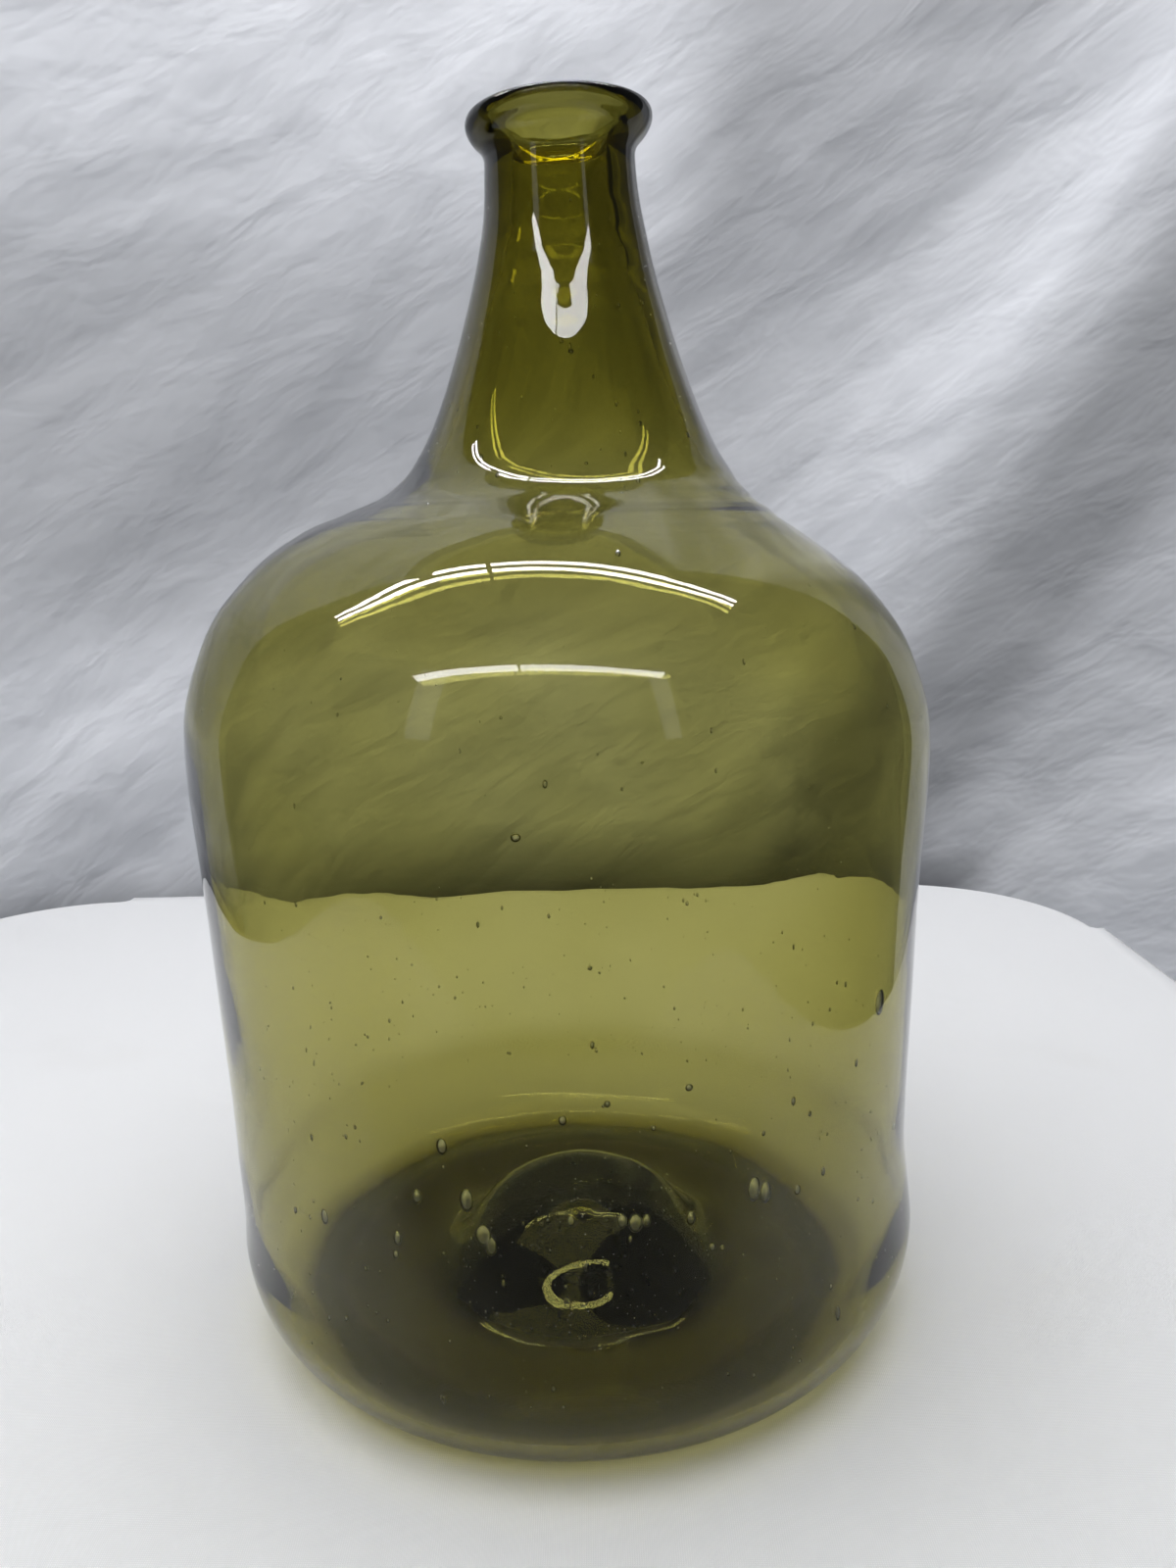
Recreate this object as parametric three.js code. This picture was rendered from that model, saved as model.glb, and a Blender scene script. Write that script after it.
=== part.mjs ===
// Demijohn: a free-blown bottle of olive-green glass, bare and empty, about ten litres.
// Millimetres, +Z up, the bottle stands on z = 0 with the axis of its body on x = 0, y = 0.
// The glass is one blown bubble, thick in the neck, with a domed lump in the middle of its
// base. Two more pieces of hot glass were put on it: the ring laid round the mouth, and the
// rough ring that the pontil iron left under the base.
import * as THREE from "three";

// Levels above the table, and the outside radius of the glass at each.
const HEEL_LEVEL = 34;
const HEEL_RADIUS = 116.9;
const WAIST_LEVEL = 68;
const WAIST_RADIUS = 115.4;
const BELLY_LEVEL = 145;
const BELLY_RADIUS = 117.7;
const SHOULDER_LEVEL = 194;
const BODY_RADIUS = 120;
const NECK_FOOT_LEVEL = 275;
const NECK_FOOT_RADIUS = 57.5;
const NECK_TOP_LEVEL = 374;
const NECK_RADIUS = 23;

// The ring of the base that touches the table, and the shallow hollow inside it.
const FOOT_RADIUS = 90;
const FOOT_WIDTH = 6;
const KICK_HEIGHT = 6;

// The floor inside the bottle: thin at the heel, and heaped to a dome in the middle that
// was pushed off centre, towards the front.
const FLOOR_RADIUS = 92;
const FLOOR_LEVEL = 9.5;
const DOME_RADIUS = 62;
const DOME_LEVEL = 43;
const DOME_SHIFT = 10;

// Thickness of the glass.
const WALL = 3.2;
const NECK_WALL = 7.5;
const THICK_NECK_LEVEL = 328;
const FOOT_GLASS = 4.5;
const TIP_WALL = 4;

// The mouth: the neck's thick glass opens a little inside the ring that was laid round it.
const MOUTH_RISE = 13;
const MOUTH_LEVEL = NECK_TOP_LEVEL + MOUTH_RISE;
const MOUTH_RADIUS = 21.5;
const FLARE_START = 0.3;
const LIP_RADIUS = 28.6;
const LIP_HEIGHT = 9.8;
const LIP_TILT = 2.2;
const TILT_DEPTH = 14;

// The pontil scar.
const SCAR_RADIUS = 14.5;
const SCAR_WIDTH = 4.5;
const SCAR_DEPTH = 2.4;
const SCAR_BREAK = 0.35;

// How far the middle of the bottle stands to the right of the body's axis.
const FOOT_LEAN = 2.4;
const WAIST_LEAN = 0.7;
const BULGE_LEAN = -3.2;
const NECK_LEAN = 5.7;

// Space left between two pieces of glass that are fused in the real bottle.
const SEAM = 0.3;

// Steps round the bottle.
const ROUND = 60;

const GLASS_COLOUR = 0x7c7a34;
const THICK_GLASS_COLOUR = 0x3a3b1c;

// How the outside runs between two levels, as shares of the way in and of the way up.
const WAIST_SHAPE = [[0.78, 0.5]];
const BELLY_SHAPE = [
  [0.2, 0.3],
  [0.64, 0.66],
];
const RISE_SHAPE = [[0.55, 0.5]];
const SHOULDER_SHAPE = [
  [0.02, 0.2],
  [0.064, 0.32],
  [0.131, 0.445],
  [0.25, 0.59],
  [0.372, 0.69],
  [0.484, 0.764],
  [0.622, 0.838],
  [0.735, 0.89],
  [0.865, 0.94],
];
const NECK_SHAPE = [
  [0.148, 0.051],
  [0.336, 0.152],
  [0.47, 0.253],
  [0.577, 0.354],
  [0.675, 0.455],
  [0.768, 0.556],
  [0.852, 0.657],
  [0.925, 0.758],
  [0.974, 0.859],
];

// The underside as shares of the foot's inner radius and of the hollow's height, the dome
// as shares of its own radius and height, the gutter round it as shares of the way out and
// down, the inside of the mouth as shares of the way in and down, and the seat of the lip
// ring as shares of the way out and up.
const KICK_SHAPE = [
  [0, 1],
  [0.24, 0.97],
  [0.54, 0.75],
  [0.77, 0.33],
  [1, 0],
];
const DOME_SHAPE = [
  [0, 1],
  [0.19, 0.97],
  [0.39, 0.82],
  [0.55, 0.58],
  [0.69, 0.284],
  [0.84, 0.075],
  [1, 0],
];
const GUTTER_SHAPE = [
  [0.45, 0.25],
  [1, 1],
];
const FLARE_SHAPE = [
  [0.3, 0.1],
  [0.62, 0.27],
  [0.9, 0.55],
];
const SEAT_SHAPE = [
  [0.25, 0.33],
  [0.62, 0.7],
  [1, 1],
];
// The ring's edge as shares of the way out and up.
const LIP_SHAPE = [
  [0.2, 0.08],
  [0.52, 0.29],
  [0.92, 0.52],
  [1, 0.71],
  [0.88, 0.9],
];

// The bulge of the shoulder to the left, and the lean of the neck to the right, each as
// shares of the way up and of the whole lean.
const BULGE_SHAPE = [
  [0.383, 0.28],
  [0.63, 0.66],
  [0.802, 1],
  [0.877, 0.81],
  [0.938, -0.16],
];
const LEAN_SHAPE = [
  [0, 0.68],
  [0.07, 0.93],
  [0.253, 1],
  [0.758, 0.965],
  [1, 0.825],
];

// The middle of the bottle as pairs of a level and a distance to the right.
function middleLine() {
  const shoulderRise = NECK_FOOT_LEVEL - SHOULDER_LEVEL;
  const neckRise = NECK_TOP_LEVEL - NECK_FOOT_LEVEL;
  return [
    [0, FOOT_LEAN],
    [HEEL_LEVEL, FOOT_LEAN],
    [WAIST_LEVEL, WAIST_LEAN],
    [SHOULDER_LEVEL, 0],
    ...BULGE_SHAPE.map(([up, lean]) => [SHOULDER_LEVEL + up * shoulderRise, lean * BULGE_LEAN]),
    ...LEAN_SHAPE.map(([up, lean]) => [NECK_FOOT_LEVEL + up * neckRise, lean * NECK_LEAN]),
  ];
}

function middleAt(level) {
  const line = middleLine();
  if (level >= NECK_TOP_LEVEL) return line[line.length - 1][1];
  let k = 0;
  while (level > line[k + 1][0]) k += 1;
  const [low, from] = line[k];
  const [high, to] = line[k + 1];
  return from + (to - from) * THREE.MathUtils.smoothstep(level, low, high);
}

// A smooth line through stations of [radius, height], as [radius, height] points.
function smoothLine(stations, steps) {
  const points = stations.map(([r, z]) => new THREE.Vector3(r, z, 0));
  const line = new THREE.CatmullRomCurve3(points, false, "centripetal");
  return line.getPoints(steps).map((p) => new THREE.Vector2(Math.max(p.x, 0), p.y));
}

function quarterRound(middleR, middleZ, wide, high, steps) {
  const points = [];
  for (let i = 0; i <= steps; i += 1) {
    const turn = (i / steps) * (Math.PI / 2);
    const r = middleR + wide * Math.sin(turn);
    points.push(new THREE.Vector2(r, middleZ - high * Math.cos(turn)));
  }
  return points;
}

function between(from, to, shape) {
  return shape.map(([inward, up]) => [
    from[0] + (to[0] - from[0]) * inward,
    from[1] + (to[1] - from[1]) * up,
  ]);
}

// Outside of the standing wall, from the top of the heel to the foot of the mouth.
function outsideStations() {
  const heel = [HEEL_RADIUS, HEEL_LEVEL];
  const waist = [WAIST_RADIUS, WAIST_LEVEL];
  const belly = [BELLY_RADIUS, BELLY_LEVEL];
  const shoulder = [BODY_RADIUS, SHOULDER_LEVEL];
  const neckFoot = [NECK_FOOT_RADIUS, NECK_FOOT_LEVEL];
  const neckTop = [NECK_RADIUS, NECK_TOP_LEVEL];
  return [
    heel,
    ...between(heel, waist, WAIST_SHAPE),
    waist,
    ...between(waist, belly, BELLY_SHAPE),
    belly,
    ...between(belly, shoulder, RISE_SHAPE),
    shoulder,
    ...between(shoulder, neckFoot, SHOULDER_SHAPE),
    neckFoot,
    ...between(neckFoot, neckTop, NECK_SHAPE),
    neckTop,
  ];
}

// A line moved sideways by a thickness at each of its points: to its left as it runs.
function moved(line, thicknessAt) {
  return line.map((point, i) => {
    const before = line[Math.max(i - 1, 0)];
    const after = line[Math.min(i + 1, line.length - 1)];
    const way = after.clone().sub(before).normalize();
    const thick = thicknessAt(point.y);
    return new THREE.Vector2(point.x - way.y * thick, point.y + way.x * thick);
  });
}

function wallAt(level) {
  const share = THREE.MathUtils.smoothstep(level, NECK_FOOT_LEVEL, THICK_NECK_LEVEL);
  return WALL + (NECK_WALL - WALL) * share;
}

// The underside of the base and the floor above it, both from the middle outwards.
function underside() {
  const inner = FOOT_RADIUS - FOOT_WIDTH;
  return smoothLine(
    KICK_SHAPE.map(([r, z]) => [r * inner, z * KICK_HEIGHT]),
    8,
  );
}

function floorLine() {
  const rise = DOME_LEVEL - FLOOR_LEVEL;
  const dome = DOME_SHAPE.map(([r, z]) => [r * DOME_RADIUS, FLOOR_LEVEL + z * rise]);
  const gutter = between([DOME_RADIUS, FLOOR_LEVEL], [FLOOR_RADIUS, FOOT_GLASS], GUTTER_SHAPE);
  return smoothLine([...dome, ...gutter], 11);
}

// The inside of the mouth from the neck up to the rim, and the outside of the neck's own
// glass there, which the lip ring is laid round.
function flareInside() {
  const neck = [NECK_RADIUS - NECK_WALL, NECK_TOP_LEVEL];
  const rim = [MOUTH_RADIUS, MOUTH_LEVEL - TIP_WALL / 4];
  return smoothLine([rim, ...between(rim, neck, FLARE_SHAPE), neck], 7).reverse();
}

function flareOutside() {
  const foot = [NECK_RADIUS + FLARE_START, MOUTH_LEVEL - LIP_HEIGHT];
  const tip = [MOUTH_RADIUS + TIP_WALL, MOUTH_LEVEL - TIP_WALL / 4];
  return smoothLine([foot, ...between(foot, tip, SEAT_SHAPE)], 4);
}

// The dome and the scar under it stand nearer the front than the body's axis.
function domeShift(x, y, z) {
  if (z > DOME_LEVEL + FLOOR_LEVEL) return 0;
  const still = FOOT_RADIUS - FOOT_WIDTH;
  const share = THREE.MathUtils.smoothstep(Math.hypot(x, y), still / 2, still);
  return DOME_SHIFT * (1 - share);
}

// Every piece is turned on the upright axis, then each ring of it is moved to the middle
// of the bottle at its level, and the mouth is tipped down to the left.
function turned(outline, levels) {
  const shape = new THREE.LatheGeometry(outline, ROUND);
  shape.rotateX(Math.PI / 2);
  const place = shape.getAttribute("position");
  const slope = Math.tan(THREE.MathUtils.degToRad(LIP_TILT));
  const low = NECK_TOP_LEVEL - TILT_DEPTH;
  for (let i = 0; i < place.count; i += 1) {
    const level = levels[i % outline.length];
    const tip = THREE.MathUtils.smoothstep(level, low, MOUTH_LEVEL - LIP_HEIGHT);
    const x = place.getX(i);
    const y = place.getY(i);
    const z = place.getZ(i);
    place.setXYZ(i, x + middleAt(level), y - domeShift(x, y, z), z + tip * x * slope);
  }
  return shape;
}

function glass(colour) {
  return new THREE.MeshStandardMaterial({
    color: colour,
    roughness: 0.05,
    metalness: 0,
    transparent: true,
    opacity: 0.6,
  });
}

function piece(name, shape, colour) {
  shape.computeVertexNormals();
  const mesh = new THREE.Mesh(shape, glass(colour));
  mesh.name = name;
  return mesh;
}

// The bubble: base, foot, heel, wall, shoulder and neck, open at the flared mouth.
function blownBody() {
  const heel = quarterRound(FOOT_RADIUS, HEEL_LEVEL, HEEL_RADIUS - FOOT_RADIUS, HEEL_LEVEL, 6);
  const wall = smoothLine(outsideStations(), 27);
  const inside = moved(wall, wallAt);
  const insideHeel = quarterRound(
    FLOOR_RADIUS, inside[0].y, inside[0].x - FLOOR_RADIUS, inside[0].y - FOOT_GLASS, 5,
  );
  const flareIn = flareInside();
  const rim = new THREE.Vector2(MOUTH_RADIUS + TIP_WALL / 2, MOUTH_LEVEL);
  const outer = [...underside(), ...heel, ...wall.slice(1), ...flareOutside(), rim];
  const inner = [
    ...flareIn.slice().reverse(),
    ...inside.slice(0, -1).reverse(),
    ...insideHeel.slice(0, -1).reverse(),
    ...floorLine().slice(0, -1).reverse(),
  ];
  // A point of the inside moves with the outside point that it lies across from.
  const insideLevels = [
    ...flareIn.map((p) => p.y).reverse(),
    ...wall.slice(0, -1).map((p) => p.y).reverse(),
  ];
  const outline = [...outer, ...inner];
  const levels = outline.map((p, i) => insideLevels[i - outer.length] ?? p.y);
  return piece("blown_body", turned(outline, levels), GLASS_COLOUR);
}

// The ring of glass laid round the flared end of the neck and pressed to a rounded edge.
function lipRing() {
  const seat = flareOutside().map((p) => new THREE.Vector2(p.x + SEAM, p.y - SEAM));
  const low = seat[0];
  const high = seat[seat.length - 1];
  const edge = between([low.x, low.y], [LIP_RADIUS, MOUTH_LEVEL], LIP_SHAPE);
  const outside = smoothLine([[low.x, low.y], ...edge, [high.x, high.y]], 12);
  // Up the outside from the foot of the ring, and back down its seat on the neck.
  const outline = [...outside, ...seat.slice(0, -1).reverse()];
  return piece("lip_ring", turned(outline, outline.map((p) => p.y)), THICK_GLASS_COLOUR);
}

// The broken ring of glass that the pontil iron left under the dome.
function pontilScar() {
  const under = new THREE.SplineCurve(underside());
  const parts = 4;
  const top = [];
  const bottom = [];
  for (let i = 0; i <= parts; i += 1) {
    const r = SCAR_RADIUS - (SCAR_WIDTH * i) / parts;
    const level = heightOn(under, r) - SEAM;
    const deep = SCAR_DEPTH * Math.sin((Math.PI * i) / parts);
    top.push(new THREE.Vector2(r, level));
    bottom.push(new THREE.Vector2(r, level - deep));
  }
  // From the inner edge out along the broken face, and back along the seat.
  const broken = bottom.slice(1, parts).reverse();
  const outline = [top[parts], ...broken, ...top];
  const shape = new THREE.LatheGeometry(outline, ROUND);
  const place = shape.getAttribute("position");
  for (let i = 0; i < place.count; i += 1) {
    const k = i % outline.length;
    const turn = Math.floor(i / outline.length) / ROUND;
    if (k > 0 && k < parts) place.setY(i, place.getY(i) + SCAR_BREAK * unevenness(turn));
  }
  shape.rotateX(Math.PI / 2);
  shape.translate(middleAt(0), -DOME_SHIFT, 0);
  return piece("pontil_scar", shape, THICK_GLASS_COLOUR);
}

// The break runs up and down round the ring, in a few long waves and more short ones.
function unevenness(turn) {
  const round = 2 * Math.PI * turn;
  return Math.sin(5 * round) + 0.6 * Math.sin(13 * round + 1);
}

function heightOn(line, radius) {
  let low = 0;
  let high = 1;
  for (let i = 0; i < 40; i += 1) {
    const half = (low + high) / 2;
    if (line.getPoint(half).x < radius) low = half;
    else high = half;
  }
  return line.getPoint(low).y;
}

const demijohn = new THREE.Group();
demijohn.name = "demijohn";
demijohn.add(blownBody());
demijohn.add(lipRing());
demijohn.add(pontilScar());

export default demijohn;
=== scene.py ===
# A free-blown bottle of olive-green glass for about ten litres, bare and empty, on a white cloth.
# Metres, +Z up: the bottle stands on z = 0 with the axis of its body on x = 0, y = 0.
import math

import bmesh
import bpy
import numpy as np
from mathutils import Matrix, Quaternion, Vector, noise


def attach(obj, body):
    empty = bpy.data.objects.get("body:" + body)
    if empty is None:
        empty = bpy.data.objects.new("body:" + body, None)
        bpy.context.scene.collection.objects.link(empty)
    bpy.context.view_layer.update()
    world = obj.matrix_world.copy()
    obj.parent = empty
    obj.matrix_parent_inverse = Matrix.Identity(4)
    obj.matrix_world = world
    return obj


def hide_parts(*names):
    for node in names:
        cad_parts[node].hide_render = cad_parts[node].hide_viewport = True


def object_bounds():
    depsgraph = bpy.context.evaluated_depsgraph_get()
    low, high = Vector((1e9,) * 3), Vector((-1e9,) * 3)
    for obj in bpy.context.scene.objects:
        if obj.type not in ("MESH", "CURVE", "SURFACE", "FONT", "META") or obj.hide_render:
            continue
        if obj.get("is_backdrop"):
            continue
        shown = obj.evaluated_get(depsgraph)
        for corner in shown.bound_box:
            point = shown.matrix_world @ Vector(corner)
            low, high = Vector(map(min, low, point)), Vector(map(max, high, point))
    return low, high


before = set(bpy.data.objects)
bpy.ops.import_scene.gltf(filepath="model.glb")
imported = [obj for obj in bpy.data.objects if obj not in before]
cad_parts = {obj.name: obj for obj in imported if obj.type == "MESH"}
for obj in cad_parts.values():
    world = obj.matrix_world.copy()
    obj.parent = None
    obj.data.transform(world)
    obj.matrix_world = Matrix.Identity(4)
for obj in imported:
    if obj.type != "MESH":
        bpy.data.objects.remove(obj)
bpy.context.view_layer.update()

# The blown body: one bubble of hot glass, drawn out to a neck and rolled to a cylinder, with
# a lump of glass left in the middle of its base. The lip is a trail of the same glass that
# was laid round the flared mouth while it was hot, so that it is one with the neck.
HEEL_LEVEL = 0.034
HEEL_RADIUS = 0.1166
WAIST_LEVEL = 0.068
WAIST_RADIUS = 0.1151
BELLY_LEVEL = 0.145
BELLY_RADIUS = 0.1174
SHOULDER_LEVEL = 0.194
BODY_RADIUS = 0.1197
NECK_FOOT_LEVEL = 0.275
NECK_FOOT_RADIUS = 0.0575
NECK_TOP_LEVEL = 0.374
NECK_RADIUS = 0.023
MOUTH_LEVEL = 0.3868
MOUTH_RADIUS = 0.0205
LIP_RADIUS = 0.0285
LIP_HEIGHT = 0.0098
LIP_TILT = math.radians(2.2)
RIM_LEVEL = 0.387
TILT_DEPTH = 0.014
FOOT_RADIUS = 0.090
FOOT_WIDTH = 0.006
KICK_HEIGHT = 0.006
FLOOR_RADIUS = 0.092
FLOOR_LEVEL = 0.0095
DOME_RADIUS = 0.062
DOME_LEVEL = 0.043
DOME_SHIFT = 0.010
SCAR_RADIUS = 0.0145
SCAR_WIDTH = 0.0045
SCAR_DEPTH = 0.0024
WALL = 0.0032
NECK_WALL = 0.0066
NECK_TOP_WALL = 0.0084
HEEL_WALL = 0.0046
RIPPLE = 0.0002
RIPPLE_LENGTH = 0.012
FOOT_GLASS = 0.0054
UNEVEN_OUTSIDE = 0.00022
UNEVEN_INSIDE = 0.00045
UNEVEN_FLOOR = 0.0012
OUTLINE_STEP = 0.0032
FLOOR_STEP = 0.0026
MOUTH_STEP = 0.0007
TURNS = 200

# How the outside runs between two levels, as shares of the way in and of the way up.
WAIST_SHAPE = [(0.78, 0.5)]
BELLY_SHAPE = [(0.2, 0.3), (0.64, 0.66)]
RISE_SHAPE = [(0.55, 0.5)]
SHOULDER_SHAPE = [
    (0.02, 0.2), (0.064, 0.32), (0.131, 0.445), (0.25, 0.59), (0.372, 0.69),
    (0.484, 0.764), (0.622, 0.838), (0.735, 0.89), (0.865, 0.94),
]
NECK_SHAPE = [
    (0.148, 0.051), (0.336, 0.152), (0.47, 0.253), (0.58, 0.354), (0.68, 0.455),
    (0.767, 0.556), (0.848, 0.657), (0.916, 0.758), (0.968, 0.859),
]
# The outside of the mouth from the neck to the rim, and its inside from the rim back.
LIP_SHAPE = [(0.08, 0.15), (0.27, 0.3), (0.6, 0.45), (0.88, 0.62), (1.0, 0.8), (0.91, 0.94)]
FLARE_SHAPE = [(0.42, 0.17), (0.8, 0.42), (0.98, 0.72)]
# The underside and the floor over it, from the middle outwards.
KICK_SHAPE = [(0, 1), (0.24, 0.97), (0.54, 0.75), (0.77, 0.33), (1, 0)]
SCAR_SHAPE = [
    (-0.5, 0.0), (-0.28, 0.5), (-0.1, 0.93), (0.06, 1.0), (0.22, 0.62), (0.36, 0.18), (0.5, 0.0),
]
DOME_SHAPE = [
    (0, 1), (0.19, 0.97), (0.39, 0.82), (0.55, 0.58), (0.69, 0.284), (0.84, 0.075), (1, 0),
]
GUTTER_SHAPE = [(0.45, 0.25), (1, 1)]
# The middle of the bottle at each level.
MIDDLE = [
    (0, 0.0024), (HEEL_LEVEL, 0.0024), (WAIST_LEVEL, 0.0007), (SHOULDER_LEVEL, 0),
    (0.225, -0.0009), (0.245, -0.0021), (0.259, -0.0032), (0.265, -0.0026), (0.270, 0.0005),
    (NECK_FOOT_LEVEL, 0.0039), (0.282, 0.0053), (0.300, 0.0057), (0.350, 0.0055),
    (NECK_TOP_LEVEL, 0.0047), (0.39, 0.0047),
]


def smooth_step(value, low, high):
    """0 up to low and 1 from high on, with a soft rise between them."""
    share = min(max((value - low) / (high - low), 0.0), 1.0)
    return share * share * (3 - 2 * share)


def middle_at(level):
    """How far to the right the middle of the bottle lies at this level."""
    for (low, start), (high, end) in zip(MIDDLE, MIDDLE[1:]):
        if level <= high:
            return start + (end - start) * smooth_step(level, low, high)
    return MIDDLE[-1][1]


def smooth_line(stations, step):
    """Points every step along the smoothest curve through stations of (radius, level)."""
    points = np.array(stations, float)
    gaps = np.hypot(*np.diff(points, axis=0).T)
    at = np.concatenate([[0.0], np.cumsum(gaps)])
    count = len(at)
    rows = np.zeros((count, count))
    right = np.zeros((count, 2))
    rows[0, 0] = rows[-1, -1] = 1.0
    for i in range(1, count - 1):
        rows[i, i - 1] = gaps[i - 1]
        rows[i, i] = 2 * (gaps[i - 1] + gaps[i])
        rows[i, i + 1] = gaps[i]
        slope_out = (points[i + 1] - points[i]) / gaps[i]
        slope_in = (points[i] - points[i - 1]) / gaps[i - 1]
        right[i] = 6 * (slope_out - slope_in)
    bends = np.linalg.solve(rows, right)
    line = []
    for t in np.linspace(0, at[-1], max(2, round(at[-1] / step) + 1)):
        i = min(int(np.searchsorted(at, t, side="right")) - 1, count - 2)
        a, b = t - at[i], at[i + 1] - t
        h = gaps[i]
        point = (bends[i] * b**3 + bends[i + 1] * a**3) / (6 * h)
        point += (points[i] / h - bends[i] * h / 6) * b
        point += (points[i + 1] / h - bends[i + 1] * h / 6) * a
        line.append((float(point[0]), float(point[1])))
    return line


def between(start, end, shape):
    """The stations of a shape that runs from one (radius, level) to another."""
    return [
        (start[0] + (end[0] - start[0]) * inward, start[1] + (end[1] - start[1]) * up)
        for inward, up in shape
    ]


def quarter_round(middle_radius, middle_level, wide, high, steps):
    """From straight under the middle, outwards and up to its level."""
    turns = [i / steps * math.pi / 2 for i in range(steps + 1)]
    return [
        (middle_radius + wide * math.sin(t), middle_level - high * math.cos(t)) for t in turns
    ]


def wall_line():
    """The outside from the top of the heel to the foot of the mouth."""
    heel = (HEEL_RADIUS, HEEL_LEVEL)
    waist = (WAIST_RADIUS, WAIST_LEVEL)
    belly = (BELLY_RADIUS, BELLY_LEVEL)
    shoulder = (BODY_RADIUS, SHOULDER_LEVEL)
    neck_foot = (NECK_FOOT_RADIUS, NECK_FOOT_LEVEL)
    neck_top = (NECK_RADIUS, NECK_TOP_LEVEL)
    stations = [
        heel,
        *between(heel, waist, WAIST_SHAPE),
        waist,
        *between(waist, belly, BELLY_SHAPE),
        belly,
        *between(belly, shoulder, RISE_SHAPE),
        shoulder,
        *between(shoulder, neck_foot, SHOULDER_SHAPE),
        neck_foot,
        *between(neck_foot, neck_top, NECK_SHAPE),
        neck_top,
    ]
    return smooth_line(stations, OUTLINE_STEP)


def thickness_at(level):
    """Thin in the wall, thicker in heel and neck, and thickest of all at the neck's top."""
    up = smooth_step(level, NECK_FOOT_LEVEL - 0.015, NECK_FOOT_LEVEL + 0.050)
    top = smooth_step(level, NECK_TOP_LEVEL - 0.050, NECK_TOP_LEVEL - 0.006)
    ripple = math.sin(2 * math.pi * (level - NECK_TOP_LEVEL) / RIPPLE_LENGTH)
    grow = smooth_step(level, 0.325, 0.340) * (1 - smooth_step(level, 0.362, 0.372))
    down = 1 - smooth_step(level, HEEL_LEVEL - 0.006, HEEL_LEVEL + 0.016)
    wall = WALL + (NECK_WALL - WALL) * up + (NECK_TOP_WALL - NECK_WALL) * top
    wall += (HEEL_WALL - WALL) * down
    return wall + RIPPLE * grow * ripple


def inside_of(line):
    """The same line moved into the glass by its thickness there."""
    moved = []
    for i, (radius, level) in enumerate(line):
        before, after = line[max(i - 1, 0)], line[min(i + 1, len(line) - 1)]
        way = Vector((after[0] - before[0], after[1] - before[1])).normalized()
        thick = thickness_at(level)
        moved.append((radius - way.y * thick, level + way.x * thick))
    return moved


def under_line():
    """The underside: a shallow hollow, with the ridge that the pontil iron left in it."""
    foot_inner = FOOT_RADIUS - FOOT_WIDTH
    line = smooth_line([(r * foot_inner, z * KICK_HEIGHT) for r, z in KICK_SHAPE], FLOOR_STEP)
    ridge = SCAR_RADIUS - SCAR_WIDTH / 2
    crest = []
    for out, down in SCAR_SHAPE:
        radius = ridge + out * SCAR_WIDTH
        level = float(np.interp(radius, [p[0] for p in line], [p[1] for p in line]))
        crest.append((radius, level - down * SCAR_DEPTH))
    inner = [p for p in line if p[0] < crest[0][0] - 0.0004]
    outer = [p for p in line if p[0] > crest[-1][0] + 0.0004]
    return [*inner, *crest, *outer]


def body_outline():
    """Once round the glass, as (radius, level, level that sets the middle, side)."""
    rise = DOME_LEVEL - FLOOR_LEVEL
    dome = [(r * DOME_RADIUS, FLOOR_LEVEL + z * rise) for r, z in DOME_SHAPE]
    gutter = between((DOME_RADIUS, FLOOR_LEVEL), (FLOOR_RADIUS, FOOT_GLASS), GUTTER_SHAPE)
    floor = smooth_line([*dome, *gutter], FLOOR_STEP)
    heel = quarter_round(FOOT_RADIUS, HEEL_LEVEL, HEEL_RADIUS - FOOT_RADIUS, HEEL_LEVEL, 18)
    wall = wall_line()
    inside = inside_of(wall)
    inside_heel = quarter_round(
        FLOOR_RADIUS, inside[0][1], inside[0][0] - FLOOR_RADIUS, inside[0][1] - FOOT_GLASS, 14
    )
    neck_top = (NECK_RADIUS, NECK_TOP_LEVEL)
    rim_inside = (MOUTH_RADIUS, MOUTH_LEVEL - 0.0012)
    neck_inside = (NECK_RADIUS - NECK_TOP_WALL, NECK_TOP_LEVEL)
    mouth = smooth_line(
        [
            neck_top,
            *between(neck_top, (LIP_RADIUS, MOUTH_LEVEL), LIP_SHAPE),
            (MOUTH_RADIUS + 0.0022, MOUTH_LEVEL),
            (MOUTH_RADIUS + 0.0008, MOUTH_LEVEL - 0.0003),
            rim_inside,
            *between(rim_inside, neck_inside, FLARE_SHAPE),
            neck_inside,
        ],
        MOUTH_STEP,
    )
    outline = [(r, z, z, 0.0) for r, z in [*under_line(), *heel[1:], *wall[1:], *mouth[1:-1]]]
    pairs = list(zip(inside, wall))
    outline += [(i[0], i[1], o[1], 1.0) for i, o in reversed(pairs)]
    outline += [(r, z, z, 1.0) for r, z in reversed(inside_heel[:-1])]
    outline += [(r, z, z, 2.0) for r, z in reversed(floor[:-1])]
    return outline


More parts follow.
